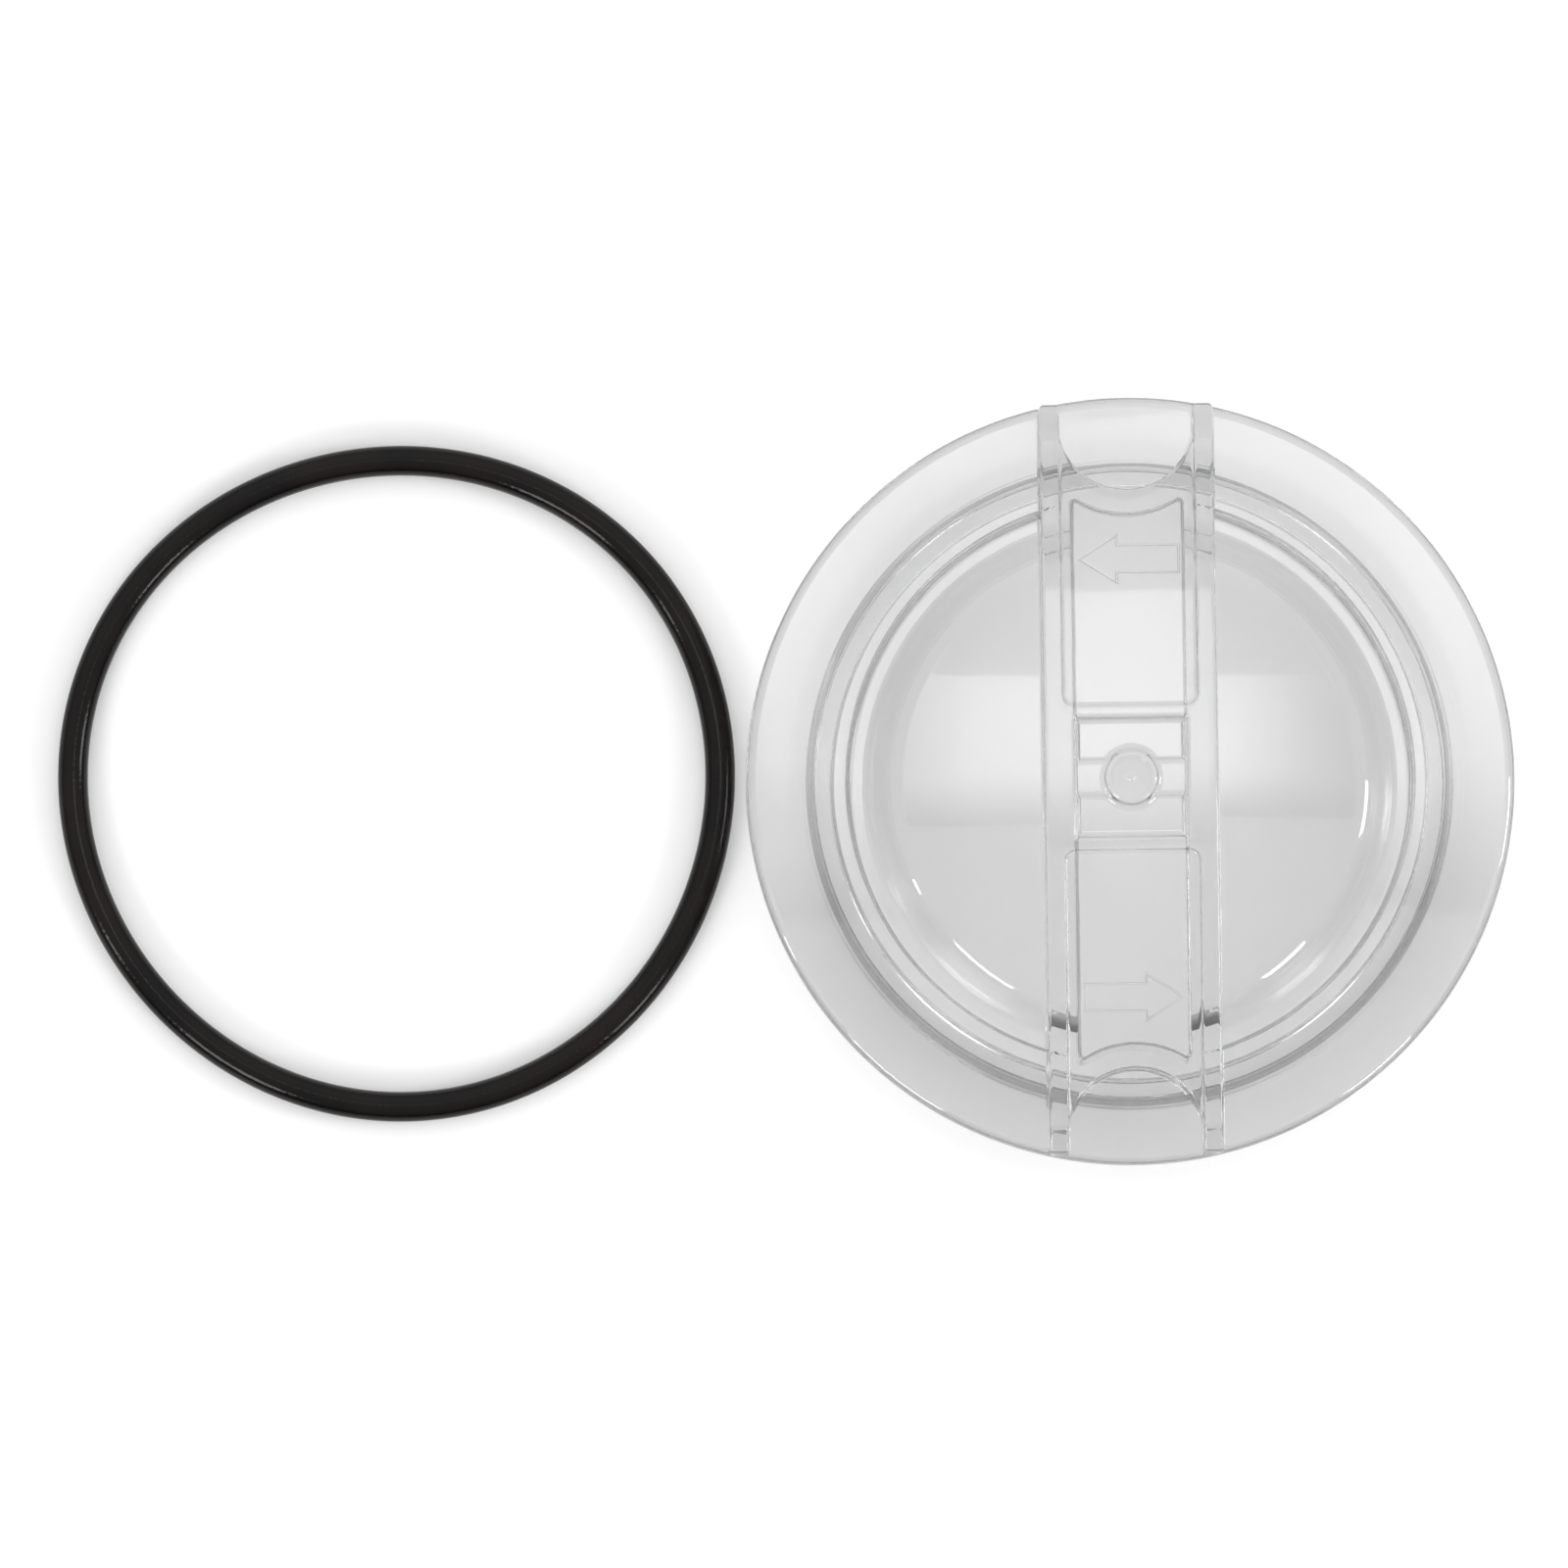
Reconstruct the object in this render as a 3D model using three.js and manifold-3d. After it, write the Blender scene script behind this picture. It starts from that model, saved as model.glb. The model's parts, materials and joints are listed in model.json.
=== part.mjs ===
// Strainer lid of a pool pump, with its O-ring lying beside it.
//
// Millimetres, +Z up. Lid and ring lie side by side along X on a bench at Z = 0, the lid standing on its
// threaded spigot towards +X and the loose ring flat towards -X. The origin is on the bench under the middle
// of the pair. The lid's handle runs along Y.

import * as THREE from 'three';
import { mergeVertices } from 'three/addons/utils/BufferGeometryUtils.js';
import Module from 'manifold-3d';

const wasm = await Module();
wasm.setup();

// ---------------------------------------------------------------- driving dimensions

const LID_RADIUS = 89.5;
const FLANGE_TOP = 27.5;
const FLANGE_THICKNESS = 5.5;
const HANDLE_TOP = 41;
const HANDLE_HALF_WIDTH = 20.1;

const RING_MEAN_RADIUS = 76.2;
const RING_CORD = 6.98;
const RING_GAP = 1.8;              // clear bench between the rim of the lid and the loose ring
const RING_OFFSET = 3.5;           // how far the loose ring's centre lies from the lid's X axis

const ROUND_SEGMENTS = 72;         // facets around the lid and around the ring
const SCOOP_SEGMENTS = 64;         // facets around the handle's scoops
const BOSS_SEGMENTS = 32;
const CORD_SEGMENTS = 12;          // facets around the ring's cord
const RIM_STEPS = 3;
const DOME_STEPS = 4;
const CROWN_STEPS = 16;
const CORNER_STEPS = 6;
const OVER = 2;                    // how far a cutter reaches past the face that it opens

// flange and spigot
const FLANGE_BOTTOM = FLANGE_TOP - FLANGE_THICKNESS;
const RIM_ROUND = 2.3;             // radius of the flange's upper outer edge
const RIM_CHAMFER = 0.6;           // at the flange's lower outer edge
const SPIGOT_RADIUS = 73.4;        // root of the thread; the O-ring sits round it, between thread and flange
const SPIGOT_LEAD_IN = 0.6;        // chamfer at the spigot's free end
const BORE_RADIUS = 69.8;

// sunk window inside the flange: a ring-shaped valley round a faintly domed plateau
const WINDOW_WALL = 4.5;           // measured upright
const WINDOW_EDGE_RADIUS = 66.2;
const WINDOW_WALL_FOOT = WINDOW_EDGE_RADIUS - 1;
const WINDOW_EDGE_CHAMFER = 0.3;
const VALLEY_TOP = FLANGE_TOP - 9.5;
const STEP_FOOT_RADIUS = 60.85;    // foot and head of the slope from the valley up to the plateau
const STEP_HEAD_RADIUS = 54.83;
const STEP_SLOPE = THREE.MathUtils.degToRad(42);
const PLATEAU_TOP = VALLEY_TOP + (STEP_FOOT_RADIUS - STEP_HEAD_RADIUS) * Math.tan(STEP_SLOPE);
const DOME_RADIUS = 900;

// thread: two equal starts, each a ridge of one turn
const THREAD_STARTS = 2;
const THREAD_DEPTH = 2.2;
const THREAD_LEAD = 8;
const THREAD_BASE = 3.2;           // width of the ridge at its root
const THREAD_CREST = 1.2;
const THREAD_FIRST_HEIGHT = 2.8;   // middle of the ridge where it starts, above the spigot's end
const THREAD_SEGMENTS = 48;        // per turn
const THREAD_SINK = 0.8;           // how far the ridge's root reaches into the spigot

// handle, crowned along its length
const CROWN_RADIUS = 2200;
const HANDLE_END = LID_RADIUS - 2.3;   // flat end faces of the ribs
const HANDLE_END_INSET = 0.2;          // how far the ribs' corners stay inside the rim
const RIB_SLOPE_START = 80.7;          // where the ribs' tops bend down towards their ends
const RIB_SLOPE = THREE.MathUtils.degToRad(24);
const CHANNEL_HALF_WIDTH = 15.7;       // shallow channel between the handle's two ribs, open at the rim
const CHANNEL_START = 16.8;            // from the lid's axis
const CHANNEL_CORNER = 2.5;
const CHANNEL_DEPTH = 2.5;
const CHANNEL_FLOOR = HANDLE_TOP - CHANNEL_DEPTH;
const SCOOP_CENTRE = 83.5;             // round finger scoop at each end, down to the flange
const SCOOP_RADIUS = 16;
const RECESS_HALF_WIDTH = 13.3;        // small recess in the middle of the bar
const RECESS_END = 14.2;
const RECESS_LEAN = 1;
const CROSSBAR_HALF_WIDTH = 4.1;       // low bar across the recess
const CROSSBAR_TOP = HANDLE_TOP - 0.9;
const CROSSBAR_SHOULDER = 0.9;
const BOSS_RADIUS = 5.9;               // round boss on the crossbar, where the moulding was filled
const BOSS_FOOT_RADIUS = 7.4;
const BOSS_HEIGHT = 0.6;

// hollow underside of the handle
const CORE_HALF_WIDTH = 13.2;
const CORE_END_WALL = 5.7;         // thickness left between the hollow and the scoop
const WEB = 3.5;                   // thickness of the handle's top skin

// raised arrow on each channel's floor
const ARROW_CENTRE = 51;
const ARROW_LENGTH = 24.4;
const ARROW_HEAD_LENGTH = 10;
const ARROW_HEAD_WIDTH = 12.6;
const ARROW_SHAFT_WIDTH = 7.2;
const ARROW_LINE = 0.9;
const ARROW_RELIEF = 0.35;
const ARROW_SINK = 2;              // depth of the ridge's root under the middle of the bar's channel floor

// places of the two axes along X, the pair being centred on the origin
const RING_RADIUS = RING_MEAN_RADIUS + RING_CORD / 2;
const PAIR_HALF_LENGTH = LID_RADIUS + RING_GAP / 2 + RING_RADIUS;
const LID_X = PAIR_HALF_LENGTH - LID_RADIUS;
const RING_X = RING_RADIUS - PAIR_HALF_LENGTH;

// ---------------------------------------------------------------- solids

function toSolid(geometry) {
  const bare = geometry.clone();
  bare.deleteAttribute('normal');
  bare.deleteAttribute('uv');
  const merged = mergeVertices(bare, 1e-4);
  return new wasm.Manifold(new wasm.Mesh({
    numProp: 3,
    vertProperties: new Float32Array(merged.attributes.position.array),
    triVerts: new Uint32Array(merged.index.array),
  }));
}

function toGeometry(solid) {
  const mesh = solid.getMesh();
  const geometry = new THREE.BufferGeometry();
  geometry.setAttribute('position', new THREE.BufferAttribute(mesh.vertProperties, mesh.numProp));
  geometry.setIndex(new THREE.BufferAttribute(mesh.triVerts, 1));
  geometry.computeVertexNormals();
  return geometry;
}

function boxBetween(low, high) {
  const size = new THREE.Vector3().subVectors(high, low);
  const middle = new THREE.Vector3().addVectors(low, high).multiplyScalar(0.5);
  const geometry = new THREE.BoxGeometry(size.x, size.y, size.z);
  geometry.translate(middle.x, middle.y, middle.z);
  return toSolid(geometry);
}

// a solid of revolution about Z from a profile of (radius, height) points
function revolved(points, segments = ROUND_SEGMENTS) {
  const geometry = new THREE.LatheGeometry(points, segments);
  geometry.rotateX(Math.PI / 2);
  return toSolid(geometry);
}

// an upright prism of a flat outline
function prism(shape, bottom, top) {
  const geometry = new THREE.ExtrudeGeometry(shape, { depth: top - bottom, bevelEnabled: false });
  geometry.translate(0, 0, bottom);
  return toSolid(geometry);
}

// a solid between two outlines that have the same number of points, one at the bottom and one at the top
function tapered(lower, upper, bottom, top) {
  const count = lower.length;
  const positions = [];
  lower.forEach((point) => positions.push(point.x, point.y, bottom));
  upper.forEach((point) => positions.push(point.x, point.y, top));
  const index = [];
  for (const [a, b, c] of THREE.ShapeUtils.triangulateShape(lower, [])) {
    index.push(a, c, b, a + count, b + count, c + count);
  }
  for (let i = 0; i < count; i += 1) {
    const next = (i + 1) % count;
    index.push(i, next, next + count, i, next + count, i + count);
  }
  const geometry = new THREE.BufferGeometry();
  geometry.setAttribute('position', new THREE.Float32BufferAttribute(positions, 3));
  geometry.setIndex(index);
  return toSolid(geometry);
}

const halfTurn = new THREE.Matrix4().makeRotationZ(Math.PI);

// the same cutter or ridge at both ends of the handle
function withOppositeTwin(solid) {
  return solid.add(solid.transform(halfTurn.elements));
}

// points of a quarter-round edge, from one angle to another, in (radius, height)
function edgeRound(radius, height, size, fromAngle, toAngle, steps) {
  const points = [];
  for (let i = 0; i <= steps; i += 1) {
    const angle = fromAngle + (toAngle - fromAngle) * (i / steps);
    points.push(new THREE.Vector2(radius + size * Math.cos(angle), height + size * Math.sin(angle)));
  }
  return points;
}

// ---------------------------------------------------------------- lid

// points of the plateau's faint dome, from the axis outwards, in (radius, height)
function dome(edgeRadius, edgeHeight, steps) {
  const points = [];
  for (let i = 0; i <= steps; i += 1) {
    const radius = edgeRadius * (i / steps);
    points.push(new THREE.Vector2(radius, edgeHeight + (edgeRadius ** 2 - radius ** 2) / (2 * DOME_RADIUS)));
  }
  return points;
}

// flange, window and spigot in one closed profile, from the axis under the window to the axis above it
function shellSolid() {
  const valleyBottom = VALLEY_TOP - WINDOW_WALL;
  const profile = [
    ...dome(STEP_HEAD_RADIUS, PLATEAU_TOP - WINDOW_WALL, DOME_STEPS),
    new THREE.Vector2(STEP_FOOT_RADIUS, valleyBottom),
    new THREE.Vector2(BORE_RADIUS, valleyBottom),
    new THREE.Vector2(BORE_RADIUS, 0),
    new THREE.Vector2(SPIGOT_RADIUS - SPIGOT_LEAD_IN, 0),
    new THREE.Vector2(SPIGOT_RADIUS, SPIGOT_LEAD_IN),
    new THREE.Vector2(SPIGOT_RADIUS, FLANGE_BOTTOM),
    new THREE.Vector2(LID_RADIUS - RIM_CHAMFER, FLANGE_BOTTOM),
    new THREE.Vector2(LID_RADIUS, FLANGE_BOTTOM + RIM_CHAMFER),
    ...edgeRound(LID_RADIUS - RIM_ROUND, FLANGE_TOP - RIM_ROUND, RIM_ROUND, 0, Math.PI / 2, RIM_STEPS),
    new THREE.Vector2(WINDOW_EDGE_RADIUS + WINDOW_EDGE_CHAMFER, FLANGE_TOP),
    new THREE.Vector2(WINDOW_EDGE_RADIUS, FLANGE_TOP - WINDOW_EDGE_CHAMFER),
    new THREE.Vector2(WINDOW_WALL_FOOT, VALLEY_TOP),
    new THREE.Vector2(STEP_FOOT_RADIUS, VALLEY_TOP),
    ...dome(STEP_HEAD_RADIUS, PLATEAU_TOP, DOME_STEPS).reverse(),
  ];
  return revolved(profile);
}

// one turn of a trapezoidal ridge that climbs the spigot and fades out at both ends
function threadRidge(startAngle) {
  const innerRadius = SPIGOT_RADIUS - THREAD_SINK;
  const fade = THREAD_SEGMENTS / 12;
  const positions = [];
  for (let i = 0; i <= THREAD_SEGMENTS; i += 1) {
    const turn = i / THREAD_SEGMENTS;
    const angle = startAngle + turn * 2 * Math.PI;
    const middle = THREAD_FIRST_HEIGHT + turn * THREAD_LEAD;
    const rise = Math.min(1, i / fade, (THREAD_SEGMENTS - i) / fade);
    const outerRadius = SPIGOT_RADIUS + THREAD_DEPTH * rise - THREAD_SINK / 2 * (1 - rise);
    const section = [
      [innerRadius, middle - THREAD_BASE / 2],
      [outerRadius, middle - THREAD_CREST / 2],
      [outerRadius, middle + THREAD_CREST / 2],
      [innerRadius, middle + THREAD_BASE / 2],
    ];
    for (const [radius, height] of section) {
      positions.push(radius * Math.cos(angle), radius * Math.sin(angle), height);
    }
  }
  const corners = 4;
  const index = [];
  for (let i = 0; i < THREAD_SEGMENTS; i += 1) {
    for (let k = 0; k < corners; k += 1) {
      const a = i * corners + k;
      const b = i * corners + ((k + 1) % corners);
      index.push(a, a + corners, b, b, a + corners, b + corners);
    }
  }
  const last = THREAD_SEGMENTS * corners;
  index.push(0, 1, 2, 0, 2, 3);
  index.push(last, last + 2, last + 1, last, last + 3, last + 2);
  const geometry = new THREE.BufferGeometry();
  geometry.setAttribute('position', new THREE.Float32BufferAttribute(positions, 3));
  geometry.setIndex(index);
  return toSolid(geometry);
}

const crownedTop = (y) => HANDLE_TOP - y ** 2 / (2 * CROWN_RADIUS);

// points of the bar's crowned top, or of a line at a depth under it, from +Y to -Y in (length, height)
function crownPoints(end, depth) {
  const points = [];
  for (let i = 0; i <= CROWN_STEPS; i += 1) {
    const y = end * (1 - 2 * i / CROWN_STEPS);
    points.push(new THREE.Vector2(y, crownedTop(y) - depth));
  }
  return points;
}

// an outline in (length, height), drawn out across the whole width of the bar
function acrossBar(outline) {
  const block = prism(new THREE.Shape(outline), -HANDLE_HALF_WIDTH, HANDLE_HALF_WIDTH);
  const upright = new THREE.Matrix4().makeBasis(
    new THREE.Vector3(0, 1, 0),
    new THREE.Vector3(0, 0, 1),
    new THREE.Vector3(1, 0, 0),
  );
  return block.transform(upright.elements);
}

// everything that lies deeper than `depth` under the bar's crowned top
function underCrown(depth) {
  const end = LID_RADIUS + OVER;
  const foot = -2 * OVER;
  return acrossBar([new THREE.Vector2(-end, foot), new THREE.Vector2(end, foot), ...crownPoints(end, depth)]);
}

// the shallow channel between the ribs, which runs out past the rim from two rounded inner corners
function channelCutter() {
  const end = LID_RADIUS + OVER;
  const cornerX = CHANNEL_HALF_WIDTH - CHANNEL_CORNER;
  const cornerY = CHANNEL_START + CHANNEL_CORNER;
  const shape = new THREE.Shape();
  shape.moveTo(CHANNEL_HALF_WIDTH, end);
  shape.lineTo(-CHANNEL_HALF_WIDTH, end);
  shape.absarc(-cornerX, cornerY, CHANNEL_CORNER, Math.PI, 1.5 * Math.PI);
  shape.absarc(cornerX, cornerY, CHANNEL_CORNER, 1.5 * Math.PI, 2 * Math.PI);
  const outline = new THREE.Shape(shape.getPoints(CORNER_STEPS));
  return prism(outline, CHANNEL_FLOOR - 2 * OVER, HANDLE_TOP + OVER).subtract(underCrown(CHANNEL_DEPTH));
}

// an upright cylinder round the scoop's axis
function scoopCylinder(radius, bottom, top) {
  return revolved([
    new THREE.Vector2(0, bottom),
    new THREE.Vector2(radius, bottom),
    new THREE.Vector2(radius, top),
    new THREE.Vector2(0, top),
  ], SCOOP_SEGMENTS).translate([0, SCOOP_CENTRE, 0]);
}

// the round scoop in the handle's end, between the ribs
function scoopCutter() {
  const bottom = FLANGE_BOTTOM;
  const top = HANDLE_TOP + OVER;
  const betweenRibs = boxBetween(
    new THREE.Vector3(-CHANNEL_HALF_WIDTH, CHANNEL_START, bottom - OVER),
    new THREE.Vector3(CHANNEL_HALF_WIDTH, LID_RADIUS + OVER, top + OVER),
  );
  const beyondCentre = boxBetween(
    new THREE.Vector3(-CHANNEL_HALF_WIDTH, SCOOP_CENTRE, bottom),
    new THREE.Vector3(CHANNEL_HALF_WIDTH, LID_RADIUS + OVER, top),
  );
  return scoopCylinder(SCOOP_RADIUS, bottom, top).intersect(betweenRibs).add(beyondCentre);
}

// corners of a rectangle around the origin
function rectangle(halfX, halfY) {
  return [
    new THREE.Vector2(-halfX, -halfY),
    new THREE.Vector2(halfX, -halfY),
    new THREE.Vector2(halfX, halfY),
    new THREE.Vector2(-halfX, halfY),
  ];
}

// the whole bar: crowned on top, bent down at both ends
function barSolid(foot) {
  const endHeight = crownedTop(HANDLE_END) - (HANDLE_END - RIB_SLOPE_START) * Math.tan(RIB_SLOPE);
  return acrossBar([
    new THREE.Vector2(-HANDLE_END, foot),
    new THREE.Vector2(HANDLE_END, foot),
    new THREE.Vector2(HANDLE_END, endHeight),
    ...crownPoints(RIB_SLOPE_START, 0),
    new THREE.Vector2(-HANDLE_END, endHeight),
  ]);
}

// the bar handle: a solid bar that fills the window and ends at the rim, less its channels and scoops
function handleSolid() {
  const foot = VALLEY_TOP - WINDOW_WALL / 2;
  const flangeMiddle = FLANGE_TOP - FLANGE_THICKNESS / 2;
  const endRadius = LID_RADIUS - HANDLE_END_INSET;
  const envelope = revolved([
    new THREE.Vector2(0, foot),
    new THREE.Vector2(WINDOW_EDGE_RADIUS, foot),
    new THREE.Vector2(WINDOW_EDGE_RADIUS, flangeMiddle),
    new THREE.Vector2(endRadius, flangeMiddle),
    new THREE.Vector2(endRadius, HANDLE_TOP + OVER),
    new THREE.Vector2(0, HANDLE_TOP + OVER),
  ]);
  const recess = tapered(
    rectangle(RECESS_HALF_WIDTH - RECESS_LEAN, RECESS_END - RECESS_LEAN),
    rectangle(RECESS_HALF_WIDTH + RECESS_LEAN, RECESS_END + RECESS_LEAN),
    CHANNEL_FLOOR,
    HANDLE_TOP + CHANNEL_DEPTH,
  );
  const crossbar = tapered(
    rectangle(RECESS_HALF_WIDTH, CROSSBAR_HALF_WIDTH),
    rectangle(RECESS_HALF_WIDTH, CROSSBAR_HALF_WIDTH - CROSSBAR_SHOULDER),
    CHANNEL_FLOOR - WEB / 2,
    CROSSBAR_TOP,
  );
  const boss = revolved([
    new THREE.Vector2(0, CHANNEL_FLOOR - WEB / 2),
    new THREE.Vector2(BOSS_FOOT_RADIUS, CHANNEL_FLOOR - WEB / 2),
    new THREE.Vector2(BOSS_FOOT_RADIUS, CHANNEL_FLOOR),
    new THREE.Vector2(BOSS_RADIUS, HANDLE_TOP + BOSS_HEIGHT),
    new THREE.Vector2(0, HANDLE_TOP + BOSS_HEIGHT),
  ], BOSS_SEGMENTS);
  return barSolid(foot - OVER).intersect(envelope)
    .subtract(withOppositeTwin(channelCutter()))
    .subtract(withOppositeTwin(scoopCutter()))
    .subtract(recess)
    .add(crossbar)
    .add(boss);
}

// the hollow underneath, which runs on from one scoop to the other
function coreCutter() {
  const half = boxBetween(
    new THREE.Vector3(-CORE_HALF_WIDTH, -OVER, -OVER),
    new THREE.Vector3(CORE_HALF_WIDTH, SCOOP_CENTRE - SCOOP_RADIUS, HANDLE_TOP),
  );
  const endWall = scoopCylinder(SCOOP_RADIUS + CORE_END_WALL, -2 * OVER, HANDLE_TOP + OVER);
  return withOppositeTwin(half.subtract(endWall)).intersect(underCrown(CHANNEL_DEPTH + WEB));
}

// the raised outline of an arrow, pointing to -X, on the floor of the channel towards +Y
function arrowRidge() {
  const outline = (inset) => {
    const half = ARROW_LENGTH / 2;
    const neck = -half + ARROW_HEAD_LENGTH;
    const headSlope = Math.atan2(ARROW_HEAD_WIDTH / 2, ARROW_HEAD_LENGTH);
    const tip = -half + inset / Math.sin(headSlope);
    const wingY = ARROW_HEAD_WIDTH / 2 - inset / Math.cos(headSlope) - inset * Math.tan(headSlope);
    const shaftY = ARROW_SHAFT_WIDTH / 2 - inset;
    return [
      [tip, 0],
      [neck - inset, -wingY],
      [neck - inset, -shaftY],
      [half - inset, -shaftY],
      [half - inset, shaftY],
      [neck - inset, shaftY],
      [neck - inset, wingY],
    ].map(([x, y]) => new THREE.Vector2(x, y + ARROW_CENTRE));
  };
  const shape = new THREE.Shape(outline(0));
  shape.holes.push(new THREE.Path(outline(ARROW_LINE)));
  const ridge = prism(shape, CHANNEL_FLOOR - ARROW_SINK, CHANNEL_FLOOR + OVER);
  return ridge.intersect(underCrown(CHANNEL_DEPTH - ARROW_RELIEF));
}

function lidSolid() {
  let lid = shellSolid().add(handleSolid()).subtract(coreCutter()).add(withOppositeTwin(arrowRidge()));
  for (let start = 0; start < THREAD_STARTS; start += 1) {
    lid = lid.add(threadRidge(start * (2 * Math.PI / THREAD_STARTS)));
  }
  return lid;
}

// ---------------------------------------------------------------- O-ring

function ringGeometry() {
  return new THREE.TorusGeometry(RING_MEAN_RADIUS, RING_CORD / 2, CORD_SEGMENTS, ROUND_SEGMENTS);
}

// ---------------------------------------------------------------- materials and assembly

const clearPlastic = new THREE.MeshStandardMaterial({ color: 0xdfe3e4, roughness: 0.08, metalness: 0 });
const blackRubber = new THREE.MeshStandardMaterial({ color: 0x17130f, roughness: 0.28, metalness: 0 });

const assembly = new THREE.Group();

const strainerLid = new THREE.Mesh(toGeometry(lidSolid()), clearPlastic);
strainerLid.name = 'strainer_lid';
strainerLid.position.set(LID_X, 0, 0);
assembly.add(strainerLid);

const oRing = new THREE.Mesh(ringGeometry(), blackRubber);
oRing.name = 'o_ring';
oRing.position.set(RING_X, RING_OFFSET, RING_CORD / 2);
assembly.add(oRing);

export default assembly;
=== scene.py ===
# Looks of a pool pump's clear strainer lid and its black O-ring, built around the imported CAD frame.
#
# Both pieces are rebuilt here as fine meshes, worked out in millimetres. The lid's flange, window and
# spigot are one rounded outline swept round the axis. The bar handle and the hollow under it are distance
# fields, in which every edge has its moulded radius; their surfaces are meshed and thinned. The solids are
# joined and cut, and each face then gets normals from the exact surface that it lies on.

import json
import math

import bpy
import numpy as np
from mathutils import Matrix, Vector

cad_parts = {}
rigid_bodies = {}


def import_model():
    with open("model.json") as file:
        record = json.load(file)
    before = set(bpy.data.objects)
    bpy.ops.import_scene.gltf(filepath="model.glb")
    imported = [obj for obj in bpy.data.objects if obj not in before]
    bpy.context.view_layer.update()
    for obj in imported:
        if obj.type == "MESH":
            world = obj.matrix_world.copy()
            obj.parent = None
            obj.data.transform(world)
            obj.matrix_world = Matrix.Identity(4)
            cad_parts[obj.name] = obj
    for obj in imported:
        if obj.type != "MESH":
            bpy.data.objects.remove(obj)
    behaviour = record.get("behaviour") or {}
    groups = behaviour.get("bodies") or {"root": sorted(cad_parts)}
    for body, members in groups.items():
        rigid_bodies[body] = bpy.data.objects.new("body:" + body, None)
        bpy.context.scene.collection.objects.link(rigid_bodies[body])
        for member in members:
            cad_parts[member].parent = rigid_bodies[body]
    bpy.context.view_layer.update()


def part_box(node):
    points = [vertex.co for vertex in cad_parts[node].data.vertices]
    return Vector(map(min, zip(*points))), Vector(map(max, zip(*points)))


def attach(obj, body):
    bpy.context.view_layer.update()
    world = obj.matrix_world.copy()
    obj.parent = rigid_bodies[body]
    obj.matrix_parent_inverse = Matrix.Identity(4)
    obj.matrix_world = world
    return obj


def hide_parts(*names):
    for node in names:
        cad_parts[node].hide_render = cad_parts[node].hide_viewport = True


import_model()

MM = 0.001

# ---------------------------------------------------------------- sizes, in millimetres, led by the frame

lid_low, lid_high = (np.array(corner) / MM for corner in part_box("strainer_lid"))
ring_low, ring_high = (np.array(corner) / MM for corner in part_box("o_ring"))

LID_AXIS = (lid_low + lid_high) / 2
LID_RADIUS = (lid_high[0] - lid_low[0]) / 2
BOSS_HEIGHT = 0.6
HANDLE_TOP = lid_high[2] - BOSS_HEIGHT

RING_AXIS = (ring_low + ring_high) / 2
RING_CORD = ring_high[2] - ring_low[2]
RING_MEAN_RADIUS = (ring_high[0] - ring_low[0] - RING_CORD) / 2

WALL = 4.5                         # of the window, measured upright

# flange and spigot
FLANGE_TOP = HANDLE_TOP - 13.5
FLANGE_BOTTOM = FLANGE_TOP - 5.5
RIM_ROUND = 2.3
SPIGOT_RADIUS = LID_RADIUS - 16.1
BORE_RADIUS = SPIGOT_RADIUS - 3.6
LAND_OUTER_RADIUS = LID_RADIUS - 10.2    # outer edge of the O-ring's land, which is faintly turned
LAND_START = 0.8                  # from the spigot to the first turning mark
LAND_WAVE = 0.012
LAND_PITCH = 0.65
LAND_FADE = 0.8                   # over which the frosting ends

# sunk window: a valley round a plateau with a slight dome
WINDOW_EDGE_RADIUS = LID_RADIUS - 23.3
WINDOW_WALL_FOOT = WINDOW_EDGE_RADIUS - 0.5
VALLEY_TOP = FLANGE_TOP - 9.5
STEP_FOOT_RADIUS = 60.85
STEP_HEAD_RADIUS = 54.83
STEP_SLOPE = math.radians(42)
STEP_HEAD_ROUND = 6.0
STEP_FOOT_ROUND = 4.5
DOME_RADIUS = 900.0
DOME_REACH = 51.0                 # where the dome's curve ends

# two-start thread
THREAD_STARTS = 2
THREAD_DEPTH = 2.2
THREAD_LEAD = 8.0
THREAD_BASE = 3.2
THREAD_CREST = 1.2
THREAD_ROUND = 0.6
THREAD_FIRST_HEIGHT = 2.8
THREAD_FADE = 1 / 12              # share of a turn over which the ridge rises from the spigot
THREAD_ROOT_SINK = 1.5            # how far the ridge's root reaches into the spigot
THREAD_END_SINK = 0.6             # how far its crest lies inside the spigot where it starts and ends

# bar handle, crowned along its length
CROWN_RADIUS = 2200.0
HANDLE_HALF_WIDTH = 20.1
HANDLE_DRAFT = 0.012              # how much wider the handle's sides get per millimetre downwards
HANDLE_END = LID_RADIUS - 2.3     # flat end faces of the ribs
HANDLE_END_RADIUS = LID_RADIUS - 0.2
RIB_SLOPE_START = 80.7            # where the ribs' tops bend down towards their ends
RIB_SLOPE = math.radians(24)
RIB_BEND_ROUND = 0.5
HANDLE_EDGE_ROUND = 0.7
HANDLE_END_ROUND = 0.9
CHANNEL_HALF_WIDTH = 15.7         # shallow channel between the ribs, open at the rim
CHANNEL_START = 16.8
CHANNEL_CORNER = 2.5
CHANNEL_FLOOR = HANDLE_TOP - 2.5
CHANNEL_FLOOR_ROUND = 0.8
CHANNEL_EDGE_ROUND = 0.35
SCOOP_CENTRE = 83.5
SCOOP_RADIUS = 16.0
SCOOP_DRAFT = 0.02
SCOOP_EDGE_ROUND = 0.5
RECESS_HALF_WIDTH = 13.3
RECESS_END = 14.2
RECESS_DRAFT = 0.4
RECESS_CORNER = 0.8
RECESS_FLOOR_ROUND = 0.6
RECESS_EDGE_ROUND = 0.4
CROSSBAR_HALF_WIDTH = 4.1
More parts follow.
